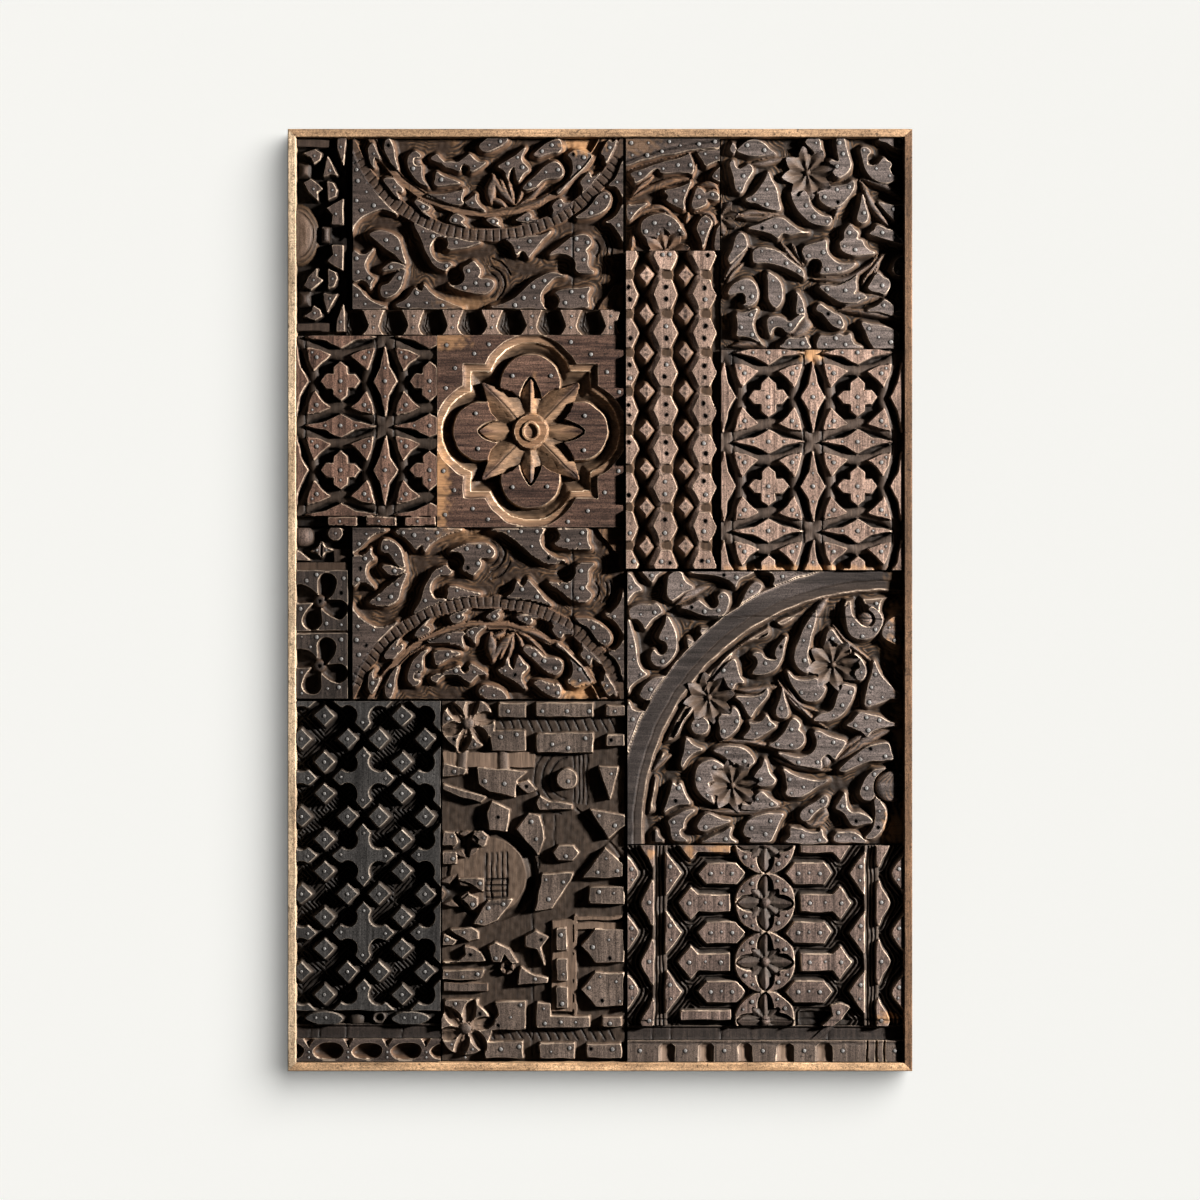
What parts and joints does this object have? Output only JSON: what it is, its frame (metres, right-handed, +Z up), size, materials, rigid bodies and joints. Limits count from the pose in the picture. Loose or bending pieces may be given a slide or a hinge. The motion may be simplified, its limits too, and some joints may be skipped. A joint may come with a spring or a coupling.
{
  "type": "carved wooden wall panel",
  "caption": "Upright wall panel of old carved wooden blocks set side by side like a patchwork in a thin plain frame.",
  "frame": {"origin": "middle of the flat back, which lies against the wall", "axes": "+Z up the panel, +X to the right as seen from the front, +Y out of the back into the wall, so the carved face looks along -Y"},
  "size_m": [0.812, 0.043, 1.225],
  "materials": {
    "frame_wood": "pale sanded oak, unvarnished",
    "board_wood": "dark plain board",
    "dark_wood": "old dark grey-brown, worn tan along the edges",
    "grey_wood": "old brown-grey, dry",
    "red_wood": "old reddish brown, worn tan along the edges",
    "charcoal_wood": "charred black-brown",
    "walnut_wood": "warm walnut brown with tan mouldings",
    "tan_wood": "lighter tan brown, worn",
    "nail_steel": "dull grey nail heads, slightly rusted"
  },
  "bodies": {
    "root": {"frame_top": "frame_wood", "frame_bottom": "frame_wood", "frame_left": "frame_wood", "frame_right": "frame_wood", "back_board": "board_wood", "scroll_strip": "tan_wood", "arch_block_upper": "dark_wood", "spool_strip_upper": "tan_wood", "tracery_block_left": "red_wood", "rosette_block": "walnut_wood", "star_block": "dark_wood", "pinwheel_block": "dark_wood", "arch_block_lower": "dark_wood", "lattice_block": "charcoal_wood", "plain_band_left": "dark_wood", "spool_strip_lower": "dark_wood", "mixed_motif_block": "grey_wood", "leaf_corner_block": "dark_wood", "leaf_block": "dark_wood", "hexagon_block": "tan_wood", "tracery_block_right": "red_wood", "quarter_arch_block": "dark_wood", "geometric_block": "red_wood", "plain_band_right": "dark_wood", "dentil_strip": "red_wood"}
  },
  "joints": []
}
